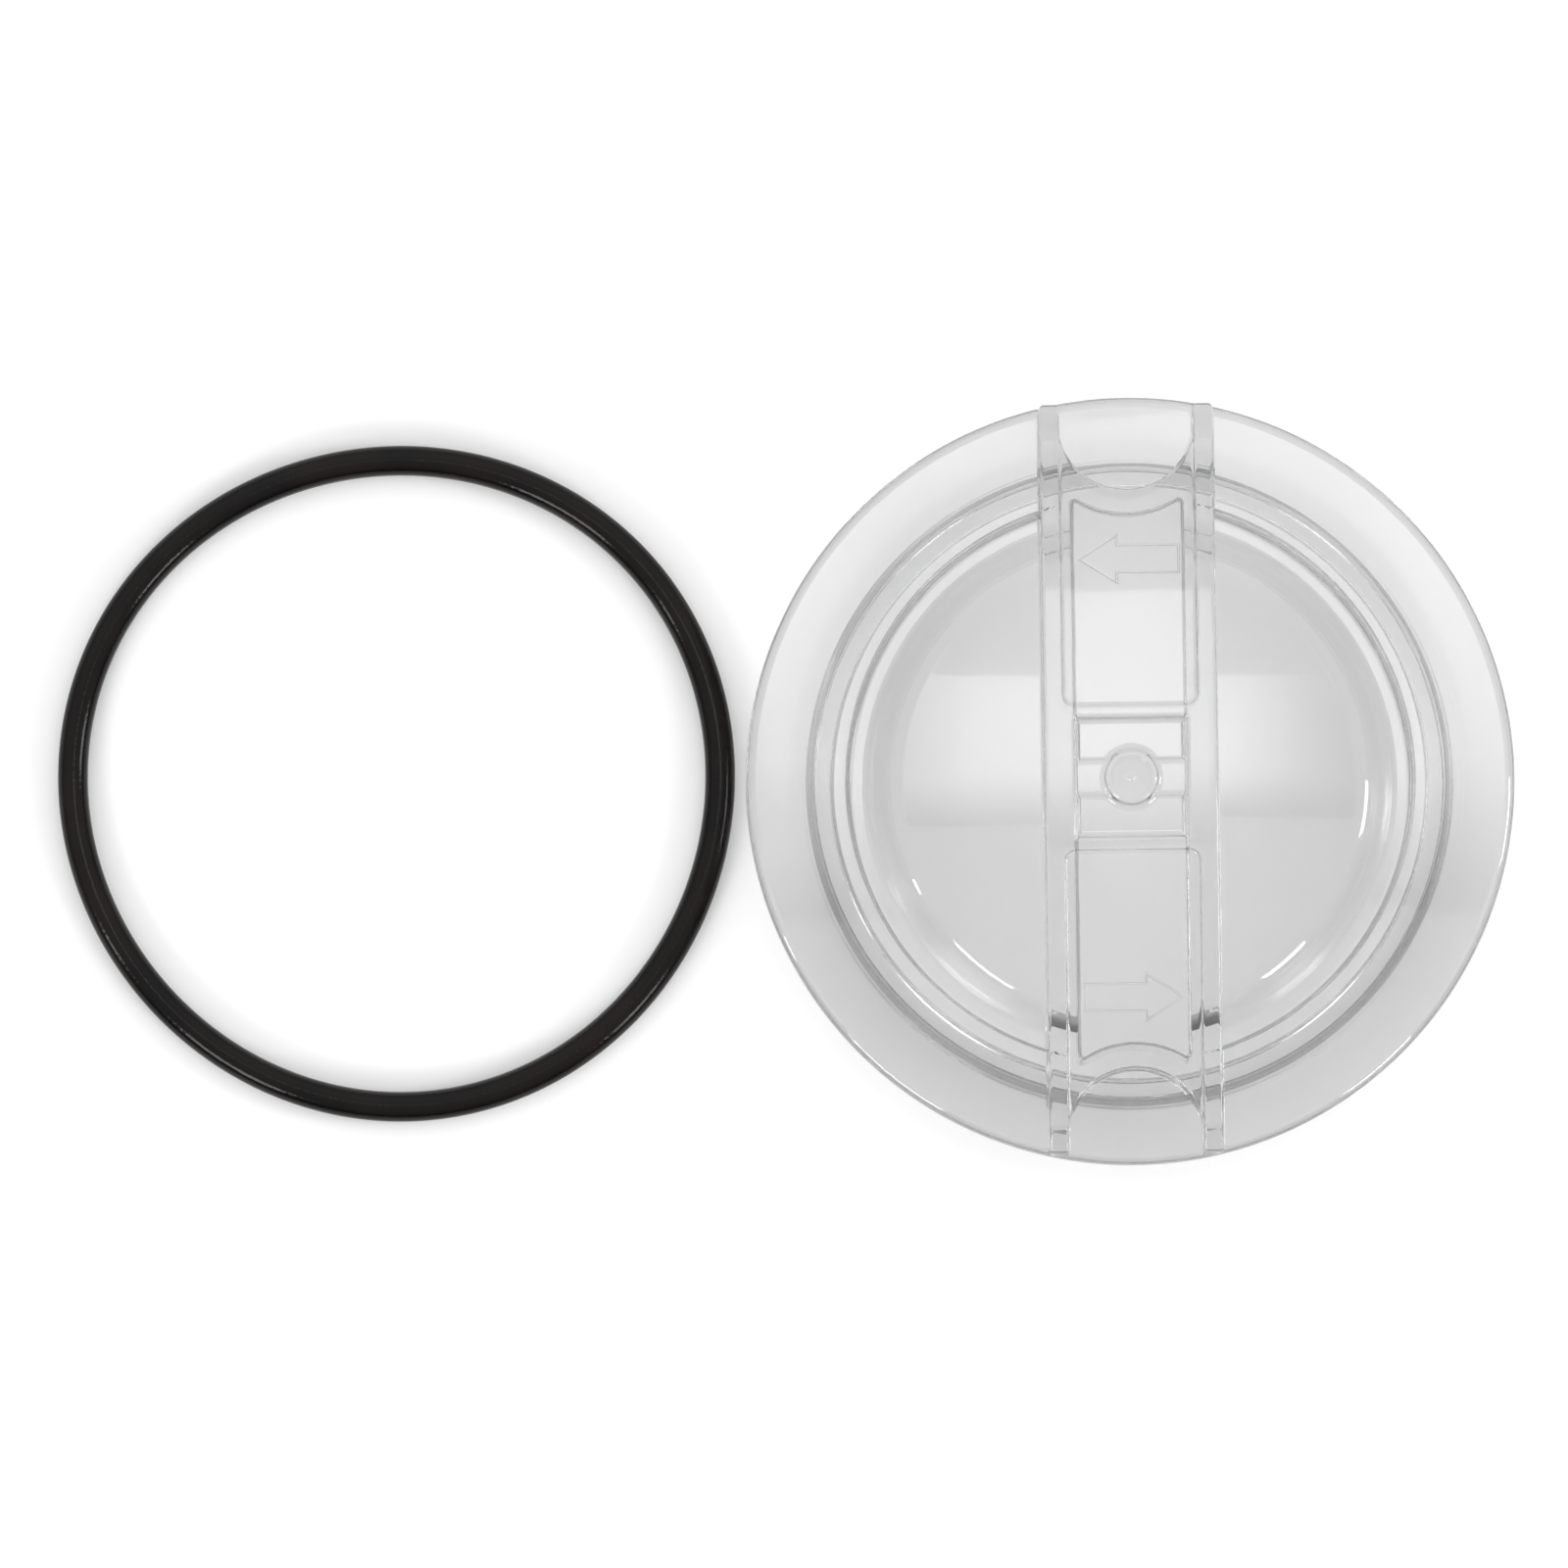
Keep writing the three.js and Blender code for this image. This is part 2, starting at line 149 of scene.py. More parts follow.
CROSSBAR_TOP = HANDLE_TOP - 0.9
CROSSBAR_DRAFT = 0.2
CROSSBAR_ROUND = 1.0
CROSSBAR_SINK = 0.5               # how far its ends reach into the recess's walls
CROSSBAR_FILLET = 0.5
BOSS_RADIUS = 5.9
BOSS_DRAFT = 0.35
BOSS_STEEPNESS = 0.94             # cosine of the angle that its drafted side leans by
BOSS_EDGE = 0.8                   # width of the raised edge round its dish
BOSS_DISH = 1.0
BOSS_ROUND = 0.6
BOSS_FILLET = 0.9
GATE_RADIUS = 1.0                 # mark in the middle of the boss where the moulding was filled
GATE_HEIGHT = 0.5
MIDDLE_SINK = 1.5                 # how far the crossbar and the boss reach into the handle's top skin
CORE_HALF_WIDTH = 13.2
CORE_DRAFT = 0.01
CORE_END_WALL = 5.7
CORE_END_ROUND = 2.2
CORE_TOP_ROUND = 0.8
WEB = 3.5
FOOT_DEPTH = 2.5                  # how deep the bar's hidden foot is sunk in the shell
FOOT_CLEARANCE = 0.08             # how far the foot's skirt lies below the shell's surface
FOOT_FILLET = 0.8
SKIRT_WIDTH = 1.7                 # how far the foot's skirt reaches out beside the bar
SKIRT_END = 0.1

# raised arrows
ARROW_CENTRE = 51.0
ARROW_LENGTH = 24.4
ARROW_HEAD_LENGTH = 10.0
ARROW_HEAD_WIDTH = 12.6
ARROW_SHAFT_WIDTH = 7.2
ARROW_LINE = 0.9
ARROW_RELIEF = 0.35
ARROW_FLANK = 0.3                 # width of the raised line's sloping sides
ARROW_SINK = 0.6

# loose ring, three-lobed and drawn in by as much as keeps its lobes inside the frame's box
RING_LOBE = 0.5
RING_LOBE_TURN = math.radians(121)
RING_DRAWN_IN = 0.43
MOULD_LINE = 0.05
MOULD_LINE_SPREAD = 0.035

AROUND = 420   # steps round the lid's axis
CELL = 0.4     # mesh cell of the handle before thinning
HANDLE_TRIANGLES = 70000
CORE_TRIANGLES = 6000
CORE_CELL = 0.5


# ---------------------------------------------------------------- distance field helpers

def fillet_join(a, b, radius):
    """Union of two fields, with a round fillet in the corner between them."""
    corner = np.hypot(np.maximum(radius - a, 0), np.maximum(radius - b, 0))
    return np.maximum(radius, np.minimum(a, b)) - corner


def round_meet(a, b, radius):
    """Intersection of two fields, with a rounded edge where they meet."""
    corner = np.hypot(np.maximum(radius + a, 0), np.maximum(radius + b, 0))
    return np.minimum(-radius, np.maximum(a, b)) + corner


class Outline:
    """A closed (radius, height) outline whose corners are rounded, walked with the solid on its left."""

    def __init__(self, corners):
        self.points = []
        self.normals_in = []      # normal at the end of the stretch that arrives at each point
        self.normals_out = []     # normal at the start of the stretch that leaves it
        count = len(corners)
        for i, (r, z, size) in enumerate(corners):
            here = np.array((r, z), float)
            arriving = self.heading(corners[i - 1], corners[i])
            leaving = self.heading(corners[i], corners[(i + 1) % count])
            turn = math.remainder(leaving - arriving, 2 * math.pi)
            if size == 0:
                self.add(here, arriving, leaving)
                continue
            along = size * math.tan(abs(turn) / 2)
            start = here - along * np.array((math.cos(arriving), math.sin(arriving)))
            side = math.copysign(size, turn)
            centre = start + side * np.array((-math.sin(arriving), math.cos(arriving)))
            finest = 0.2 if size > 100 else 6 if size > 1.4 else 15
            steps = max(2, math.ceil(math.degrees(abs(turn)) / finest))
            for k in range(steps + 1):
                angle = arriving + turn * k / steps
                point = centre - side * np.array((-math.sin(angle), math.cos(angle)))
                self.add(point, angle, angle)
        self.points = np.array(self.points)
        self.normals_in = np.array(self.normals_in)
        self.normals_out = np.array(self.normals_out)
        self.points[:, 0] = np.maximum(self.points[:, 0], 0)

    @staticmethod
    def heading(a, b):
        return math.atan2(b[1] - a[1], b[0] - a[0])

    def add(self, point, arriving, leaving):
        self.points.append(point)
        self.normals_in.append((math.sin(arriving), -math.cos(arriving)))
        self.normals_out.append((math.sin(leaving), -math.cos(leaving)))

    def nearest(self, r, z):
        """For each place, the nearest stretch, how far along it, and how far away it is."""
        best = np.full(len(r), 1e9)
        stretch = np.zeros(len(r), int)
        share = np.zeros(len(r))
        ends = np.roll(self.points, -1, axis=0)
        for k, ((r0, z0), (r1, z1)) in enumerate(zip(self.points, ends)):
            dr, dz = r1 - r0, z1 - z0
            if r0 == 0 and r1 == 0 or dr == dz == 0:
                continue
            t = np.clip(((r - r0) * dr + (z - z0) * dz) / (dr * dr + dz * dz), 0, 1)
            away = np.hypot(r - r0 - t * dr, z - z0 - t * dz)
            closer = away < best
            best[closer], stretch[closer], share[closer] = away[closer], k, t[closer]
        return stretch, share, best

    def normal_at(self, stretch, r, z):
        """The outline's normal at places that lie on the given stretches."""
        start = self.points[stretch]
        step = np.roll(self.points, -1, axis=0)[stretch] - start
        t = ((r - start[:, 0]) * step[:, 0] + (z - start[:, 1]) * step[:, 1]) / (step ** 2).sum(1)
        t = np.clip(t, 0, 1)[:, None]
        return self.normals_out[stretch] * (1 - t) + np.roll(self.normals_in, -1, axis=0)[stretch] * t


def turned_land():
    """Faint turning marks in the flange's underside, where the O-ring seals."""
    corners = []
    rounding = LAND_PITCH ** 2 / (12 * LAND_WAVE)
    radius = SPIGOT_RADIUS + LAND_START
    while radius < LAND_OUTER_RADIUS:
        height = FLANGE_BOTTOM + LAND_WAVE * (-1) ** len(corners)
        corners.append((radius, height, rounding))
        radius += LAND_PITCH
    return corners


def shell_outline():
    """Flange, sunk window and spigot, as corners of (radius, height, rounding)."""
    dome_slope = DOME_REACH / DOME_RADIUS
    dome_corner = DOME_REACH / 2
    step_head = VALLEY_TOP + (STEP_FOOT_RADIUS - STEP_HEAD_RADIUS) * math.tan(STEP_SLOPE)
    dome_top = step_head + (STEP_HEAD_RADIUS - dome_corner) * dome_slope
    return Outline([
        (0, dome_top - WALL, 0),
        (dome_corner, dome_top - WALL, DOME_RADIUS - 0.01),
        (STEP_HEAD_RADIUS, step_head - WALL, STEP_HEAD_ROUND),
        (STEP_FOOT_RADIUS, VALLEY_TOP - WALL, STEP_FOOT_ROUND),
        (BORE_RADIUS, VALLEY_TOP - WALL, 1.0),
        (BORE_RADIUS, 0, 0.5),
        (SPIGOT_RADIUS, 0, 0.6),
        (SPIGOT_RADIUS, FLANGE_BOTTOM, 0.4),
        *turned_land(),
        (LID_RADIUS, FLANGE_BOTTOM, 0.8),
        (LID_RADIUS, FLANGE_TOP, RIM_ROUND),
        (WINDOW_EDGE_RADIUS, FLANGE_TOP, 0.3),
        (WINDOW_WALL_FOOT, VALLEY_TOP, 1.2),
        (STEP_FOOT_RADIUS, VALLEY_TOP, STEP_FOOT_ROUND),
        (STEP_HEAD_RADIUS, step_head, STEP_HEAD_ROUND),
        (dome_corner, dome_top, DOME_RADIUS - 0.01),
        (0, dome_top, 0),
    ])


def top_of(outline):
    """The outline's upper side as rising radii and their heights."""
    rim = np.argmax(outline.points[:, 1] > FLANGE_TOP - 1e-6)
    upper = outline.points[rim:][::-1]
    return upper[:, 0], upper[:, 1]


class OutlineField:
    """Signed distance to a closed (radius, height) outline, tabulated once and then looked up."""

    STEP = 0.125

    def __init__(self, outline, radius_limit, low, high):
        self.low = low
        radii = np.arange(-2 * self.STEP, radius_limit, self.STEP)
        heights = np.arange(low, high, self.STEP)
        r, z = np.meshgrid(radii, heights, indexing="ij")
        self.first_radius = radii[0]
        distance = np.full(r.shape, 1e9)
        inside = np.zeros(r.shape, bool)
        ends = np.roll(outline, -1, axis=0)
        for (r0, z0), (r1, z1) in zip(outline, ends):
            if r0 == 0 and r1 == 0:
                continue
            dr, dz = r1 - r0, z1 - z0
            t = np.clip(((r - r0) * dr + (z - z0) * dz) / (dr * dr + dz * dz), 0, 1)
            distance = np.minimum(distance, np.hypot(r - r0 - t * dr, z - z0 - t * dz))
            if z0 != z1:
                crosses = (z0 > z) != (z1 > z)
                inside ^= crosses & (np.abs(r) < r0 + (z - z0) * dr / dz)
        self.table = np.where(inside, -distance, distance).astype(np.float32)

    def __call__(self, r, z):
        u = np.clip((r - self.first_radius) / self.STEP, 0, self.table.shape[0] - 1.001)
        v = np.clip((z - self.low) / self.STEP, 0, self.table.shape[1] - 1.001)
        i, j = u.astype(np.int32), v.astype(np.int32)
        u, v = u - i, v - j
        t = self.table
        near = t[i, j] * (1 - v) + t[i, j + 1] * v
        far = t[i + 1, j] * (1 - v) + t[i + 1, j + 1] * v
        return near * (1 - u) + far * u


# ---------------------------------------------------------------- the lid's field

shell = shell_outline()
top_radii, top_heights = top_of(shell)
shell_field = OutlineField(shell.points, LID_RADIUS + 3, -3, HANDLE_TOP + 4)


def channel_field(x, y, z):
    """The shallow channel between the ribs, from its inner end out past the rim."""
    plan = round_meet(np.abs(x) - CHANNEL_HALF_WIDTH, CHANNEL_START - np.abs(y), CHANNEL_CORNER)
    return round_meet(plan, CHANNEL_FLOOR - z, CHANNEL_FLOOR_ROUND)


def scoop_reach(x, y):
    """Distance in plan from the scoop's axis, which is drawn out towards the rim."""
    return np.hypot(x, np.minimum(np.abs(y) - SCOOP_CENTRE, 0))


def scoop_field(x, y, z):
    """The round finger scoop at each end of the bar, between the ribs; its wall stands almost upright."""
    wall = scoop_reach(x, y) - SCOOP_RADIUS - SCOOP_DRAFT * (z - FLANGE_TOP)
    scoop = np.maximum(wall, np.abs(x) - CHANNEL_HALF_WIDTH)
    return np.maximum(scoop, SCOOP_CENTRE / 2 - np.abs(y))


def recess_field(x, y, z):
    """The small recess in the middle of the bar, with sloped walls."""
    draft = RECESS_DRAFT * (HANDLE_TOP - z)
    plan = round_meet(np.abs(x) - RECESS_HALF_WIDTH, np.abs(y) - RECESS_END, RECESS_CORNER) + draft
    return round_meet(plan, CHANNEL_FLOOR - z, RECESS_FLOOR_ROUND)


def crossbar_field(x, y, z):
    """The low round-shouldered bar across the recess."""
    side = np.abs(y) - CROSSBAR_HALF_WIDTH - CROSSBAR_DRAFT * (CROSSBAR_TOP - z)
    bar = round_meet(side, z - CROSSBAR_TOP, CROSSBAR_ROUND)
    end = np.abs(x) - RECESS_HALF_WIDTH - CROSSBAR_SINK
    return np.maximum(bar, np.maximum(end, CHANNEL_FLOOR - MIDDLE_SINK - z))


def boss_field(r, z):
    """The round boss where the moulding was filled: dished, with the mark of the gate."""
    dish = BOSS_DISH * np.clip(1 - (r / (BOSS_RADIUS - BOSS_EDGE)) ** 2, 0, 1)
    gate = GATE_HEIGHT * np.clip(1 - (r / GATE_RADIUS) ** 2, 0, 1)
    rim = HANDLE_TOP + BOSS_HEIGHT
    top = z - (rim - dish + gate)
    side = (r - BOSS_RADIUS - BOSS_DRAFT * (rim - z)) * BOSS_STEEPNESS
    return np.maximum(round_meet(side, top, BOSS_ROUND), CHANNEL_FLOOR - MIDDLE_SINK - z)


def handle_field(points):
    """The bar on its own, with a foot sunk in the shell."""
    x, y, z = points[:, 0], points[:, 1], points[:, 2]
    r = np.hypot(x, y)
    level = z + y * y / (2 * CROWN_RADIUS)
    side = np.abs(x) - HANDLE_HALF_WIDTH - HANDLE_DRAFT * (HANDLE_TOP - z)
    slope = (np.abs(y) - RIB_SLOPE_START) * math.sin(RIB_SLOPE) + (level - HANDLE_TOP) * math.cos(RIB_SLOPE)
    top = round_meet(level - HANDLE_TOP, slope, RIB_BEND_ROUND)
    bar = round_meet(side, top, HANDLE_EDGE_ROUND)
    bar = round_meet(bar, np.maximum(np.abs(y) - HANDLE_END, r - HANDLE_END_RADIUS), HANDLE_END_ROUND)
    bar = round_meet(bar, -channel_field(x, y, level), CHANNEL_EDGE_ROUND)
    bar = round_meet(bar, -scoop_field(x, y, z), SCOOP_EDGE_ROUND)
    bar = round_meet(bar, -recess_field(x, y, level), RECESS_EDGE_ROUND)
    bar = fillet_join(bar, crossbar_field(x, y, level), CROSSBAR_FILLET)
    bar = fillet_join(bar, boss_field(r, level), BOSS_FILLET)
    bar = fillet_join(bar, shell_field(r, z) + FOOT_CLEARANCE, FOOT_FILLET)
    foot = np.interp(r, top_radii, top_heights) - FOOT_DEPTH - z
    skirt = np.maximum(np.abs(x) - HANDLE_HALF_WIDTH - SKIRT_WIDTH, r - HANDLE_END_RADIUS - SKIRT_END)
    return np.maximum(bar, np.maximum(foot, skirt))


def core_field(points):
    """The long hollow underneath the handle, which opens downwards."""
    x, y, z = points[:, 0], points[:, 1], points[:, 2]
    level = z + y * y / (2 * CROWN_RADIUS)
    side = np.abs(x) - CORE_HALF_WIDTH - CORE_DRAFT * (CHANNEL_FLOOR - z)
    end = SCOOP_RADIUS + CORE_END_WALL - scoop_reach(x, y) - SCOOP_DRAFT * (CHANNEL_FLOOR - z)
    core = round_meet(round_meet(side, end, CORE_END_ROUND), level - (CHANNEL_FLOOR - WEB), CORE_TOP_ROUND)
    return np.maximum(core, -1 - z)


def arrow_outline(inset):
    """The arrow's outline drawn in by an inset: it lies around the origin and points to -X."""
    half = ARROW_LENGTH / 2
    neck = -half + ARROW_HEAD_LENGTH
    slope = math.atan2(ARROW_HEAD_WIDTH / 2, ARROW_HEAD_LENGTH)
    tip = -half + inset / math.sin(slope)
    wing = ARROW_HEAD_WIDTH / 2 - inset / math.cos(slope) - inset * math.tan(slope)
    shaft = ARROW_SHAFT_WIDTH / 2 - inset
    return np.array([
        (tip, 0), (neck - inset, -wing), (neck - inset, -shaft), (half - inset, -shaft),
        (half - inset, shaft), (neck - inset, shaft), (neck - inset, wing)])


def arrow_ridge(side):
    """The raised line round the arrow on one channel's floor, as a closed solid."""
    section = (
        (0, -ARROW_SINK),
        (ARROW_FLANK, ARROW_RELIEF),
        (ARROW_LINE - ARROW_FLANK, ARROW_RELIEF),
        (ARROW_LINE, -ARROW_SINK),
    )
    loops = []
    for inset, height in section:
        outline = arrow_outline(inset) + (0, ARROW_CENTRE)
        z = CHANNEL_FLOOR + height - outline[:, 1] ** 2 / (2 * CROWN_RADIUS)
        loops.append(np.column_stack([outline * side, z]))
    count = len(loops[0])
    here = np.arange(count)
    after = (here + 1) % count
    faces = []
    for k in range(len(section)):
        a, b = k * count, (k + 1) % len(section) * count
        faces.append(np.stack([a + here, a + after, b + after], 1))
        faces.append(np.stack([a + here, b + after, b + here], 1))
    return np.concatenate(loops), np.concatenate(faces)


# ---------------------------------------------------------------- from field to mesh

def sampled(field, points, chunk=1_500_000):
    return np.concatenate([field(points[i:i + chunk]) for i in range(0, len(points), chunk)])


def gradient(field, points, reach=0.06):
    slopes = np.empty_like(points)
    for axis in range(3):
        step = np.zeros(3, points.dtype)
        step[axis] = reach
        slopes[:, axis] = (sampled(field, points + step) - sampled(field, points - step)) / (2 * reach)
    return slopes


def drawn_to_surface(field, points, rounds=3, most=0.4):
    """Moves points along the field's slope onto its surface."""
    for _ in range(rounds):
        value = sampled(field, points)
        slope = gradient(field, points)
        step = slope * (value / np.maximum((slope ** 2).sum(1), 0.05))[:, None]
        points = points - np.clip(step, -most, most)
    return points


def surface_net(field, low, high, cell):
    """Vertices and quads of the field's surface, one vertex in each cell that the surface crosses."""
    axes = [np.arange(a - cell * 1.37, b + cell * 2, cell, dtype=np.float32) for a, b in zip(low, high)]
    shape = tuple(len(a) for a in axes)
    values = np.empty(shape, np.float32)
    y, z = (g.ravel() for g in np.meshgrid(axes[1], axes[2], indexing="ij"))
    for i, x in enumerate(axes[0]):
        values[i] = field(np.stack([np.full_like(y, x), y, z], 1)).reshape(shape[1:])
    inside = values < 0

    strides = np.array([shape[1] * shape[2], shape[2], 1])
    total = np.prod(shape)
    sums = np.zeros((3, total))
    counts = np.zeros(total)
    quads = []
    for axis in range(3):
        first = tuple(slice(0, -1) if k == axis else slice(1, -1) for k in range(3))
        second = tuple(slice(1, None) if k == axis else slice(1, -1) for k in range(3))
        found = np.argwhere(inside[first] != inside[second])
        found[:, [k for k in range(3) if k != axis]] += 1
        a = values[tuple(found.T)]
        ahead = found.copy()
        ahead[:, axis] += 1
        b = values[tuple(ahead.T)]
        crossing = found.astype(float)
        crossing[:, axis] += a / (a - b)
        u, v = [k for k in range(3) if k != axis]
        base = found @ strides
        corners = [base - strides[u] - strides[v], base - strides[v], base, base - strides[u]]
        for cells in corners:
            counts += np.bincount(cells, minlength=total)
            for k in range(3):
                sums[k] += np.bincount(cells, crossing[:, k], minlength=total)
        loop = np.stack(corners, 1)
        flip = (a < 0) if axis == 1 else (a >= 0)
        loop[flip] = loop[flip][:, ::-1]
        quads.append(loop)
    quads = np.concatenate(quads)
    used = np.flatnonzero(counts)
    number = np.zeros(total, np.int64)
    number[used] = np.arange(len(used))
    origin = np.array([a[0] for a in axes])
    points = (sums[:, used] / counts[used]).T * cell + origin
    return points, number[quads]


def mesh_of(name, points, faces, unit=1.0):
    mesh = bpy.data.meshes.new(name)
    mesh.vertices.add(len(points))
    mesh.vertices.foreach_set("co", np.ascontiguousarray(points * unit, np.float32).ravel())
    mesh.loops.add(faces.size)
    mesh.loops.foreach_set("vertex_index", faces.astype(np.int32).ravel())
    mesh.polygons.add(len(faces))
    mesh.polygons.foreach_set("loop_start", np.arange(0, faces.size, faces.shape[1], dtype=np.int32))
    mesh.update(calc_edges=True)
    return mesh


def arrays_of(mesh):
    """Vertices and triangles of a mesh."""
    mesh.calc_loop_triangles()
    points = np.empty(len(mesh.vertices) * 3, np.float32)
    mesh.vertices.foreach_get("co", points)
    corners = np.empty(len(mesh.loop_triangles) * 3, np.int32)
    mesh.loop_triangles.foreach_get("vertices", corners)
    return points.reshape(-1, 3).astype(float), corners.reshape(-1, 3)


def thinned(points, faces, triangles):
    """The mesh with fewer triangles, kept where the surface curves."""
    scratch = bpy.data.objects.new("scratch", mesh_of("scratch", points, faces))
    bpy.context.scene.collection.objects.link(scratch)
    thin = scratch.modifiers.new("thin", "DECIMATE")
    thin.ratio = min(1.0, triangles / (2 * len(faces)))
    shown = scratch.evaluated_get(bpy.context.evaluated_depsgraph_get())
    result = arrays_of(shown.to_mesh())
    shown.to_mesh_clear()
    bpy.data.objects.remove(scratch)
    return result


def lathe(outline, around):
    """The closed outline swept round the axis, as points and triangles."""
    turn = np.arange(around) / around * 2 * math.pi
    spin = np.stack([np.cos(turn), np.sin(turn)], 1)
    points = []
    rings = []
    for r, z in outline.points:
        rings.append((sum(len(p) for p in points), r > 0))
        if r > 0:
            points.append(np.column_stack([r * spin, np.full(around, z)]))
        else:
            points.append(np.array([[0, 0, z]]))
    here = np.arange(around)
    after = (here + 1) % around
    faces = []
    for (a, a_round), (b, b_round) in zip(rings[:-1], rings[1:]):
        if a_round and b_round:
            faces.append(np.stack([a + here, a + after, b + after], 1))
            faces.append(np.stack([a + here, b + after, b + here], 1))
        elif a_round:
            faces.append(np.stack([a + here, a + after, np.full(around, b)], 1))
        else:
            faces.append(np.stack([np.full(around, a), b + after, b + here], 1))
    return np.concatenate(points), np.concatenate(faces)


def thread_section(share, corner_steps=4):
    """Radius and height offset of the ridge's section, from its lower to its upper flank."""
    rise = np.clip(min(share, 1 - share) / THREAD_FADE, 0, 1)
    crest = SPIGOT_RADIUS - THREAD_END_SINK + (THREAD_DEPTH + THREAD_END_SINK) * rise * rise * (3 - 2 * rise)
    low, high = THREAD_BASE / 2, THREAD_CREST / 2
    section = [(SPIGOT_RADIUS - THREAD_ROOT_SINK, -low)]
    for k in range(corner_steps + 1):
        angle = math.pi / 2 * k / corner_steps
        radius = crest - THREAD_ROUND * (1 - math.sin(angle))
        section.append((radius, -high + THREAD_ROUND * (1 - math.cos(angle))))
    section += [(r, -z) for r, z in reversed(section)]
    return np.array(section)


def thread_ridge(start, steps=180):
    """One turn of the ridge as a closed solid."""
    points = []
    for k in range(steps + 1):
        share = k / steps
        angle = 2 * math.pi * (start / THREAD_STARTS + share)
        radius, offset = thread_section(share).T
        height = THREAD_FIRST_HEIGHT + THREAD_LEAD * share + offset
        points.append(np.column_stack([radius * math.cos(angle), radius * math.sin(angle), height]))
    count = len(points[0])
    here = np.arange(count)
    after = (here + 1) % count
    faces = []
    for k in range(steps):
        a, b = k * count, (k + 1) * count
        faces.append(np.stack([a + here, b + here, b + after], 1))
        faces.append(np.stack([a + here, b + after, a + after], 1))
    fan = np.arange(1, count - 1)
    last = steps * count
    faces.append(np.stack([np.zeros(count - 2, int), fan, fan + 1], 1))
    faces.append(np.stack([np.full(count - 2, last), last + fan + 1, last + fan], 1))
    return np.concatenate(points), np.concatenate(faces)


def meshed(field, low, high, cell, triangles):
    """A field's surface, thinned where it is flat and drawn back onto the field."""
    points, quads = surface_net(field, low, high, cell)
    points = drawn_to_surface(field, points, rounds=2)
    points, faces = thinned(points, quads, triangles)
    return drawn_to_surface(field, points, rounds=2), faces


def combined(base, others):
    """The base solid with other solids joined or cut, as points and triangles."""
    scene = bpy.context.scene.collection.objects
    objects = [bpy.data.objects.new("base", mesh_of("base", *base))]
    scene.link(objects[0])
    for points, faces, operation in others:
        tool = bpy.data.objects.new("tool", mesh_of("tool", points, faces))
        scene.link(tool)
        objects.append(tool)
        step = objects[0].modifiers.new(operation, "BOOLEAN")
        step.operation = operation
        step.solver = "MANIFOLD"
        step.object = tool
    shown = objects[0].evaluated_get(bpy.context.evaluated_depsgraph_get())
    result = arrays_of(shown.to_mesh())
    shown.to_mesh_clear()
    for item in objects:
        bpy.data.objects.remove(item)
    return result


ON_OUTLINE = 0.03                 # a face whose middle is nearer than this to a surface lies on it
ON_FIELD = 0.12
SAME_WAY = 0.9                    # least cosine between a face's own normal and the exact one
ROUGHLY_SAME_WAY = 0.5
TO_MIDDLE = 0.04                  # how far a corner is drawn in before its normal is taken


def corner_normals(points, faces):
    """A normal for each corner of each face, from whichever exact surface the face lies on."""
    corners = points[faces]
    middles = corners.mean(1)
    radius = np.hypot(middles[:, 0], middles[:, 1])
    stretch, _, away = shell.nearest(radius, middles[:, 2])
    flat = np.cross(corners[:, 1] - corners[:, 0], corners[:, 2] - corners[:, 0])
    flat /= np.maximum(np.linalg.norm(flat, axis=1), 1e-12)[:, None]
    normals = np.repeat(flat[:, None, :], 3, 1)

    spin = middles[:, :2] / np.maximum(radius, 1e-9)[:, None]
    shell_normal = shell.normal_at(stretch, radius, middles[:, 2])
    solid_normal = np.column_stack([spin * shell_normal[:, :1], shell_normal[:, 1]])
    on_shell = (away < ON_OUTLINE) & ((solid_normal * flat).sum(1) > SAME_WAY)
    for k in range(3):
        corner = corners[on_shell, k]
        r = np.hypot(corner[:, 0], corner[:, 1])
        normal = shell.normal_at(stretch[on_shell], r, corner[:, 2])
        spin = corner[:, :2] / np.maximum(r, 1e-9)[:, None]
        normals[on_shell, k] = np.column_stack([spin * normal[:, :1], normal[:, 1]])

    for field, sign in ((handle_field, 1), (core_field, -1)):
        inside = ~on_shell & (np.abs(middles[:, 0]) < HANDLE_HALF_WIDTH + 2)
        index = np.flatnonzero(inside)
        near = np.abs(sampled(field, middles[index])) < ON_FIELD
        index = index[near]
        for k in range(3):
            place = corners[index, k] * (1 - TO_MIDDLE) + middles[index] * TO_MIDDLE
            slope = sign * gradient(field, place, 0.04)
            slope /= np.maximum(np.linalg.norm(slope, axis=1), 1e-9)[:, None]
            agrees = (slope * flat[index]).sum(1) > ROUGHLY_SAME_WAY
            normals[index[agrees], k] = slope[agrees]
    return normals / np.maximum(np.linalg.norm(normals, axis=2), 1e-12)[:, :, None]


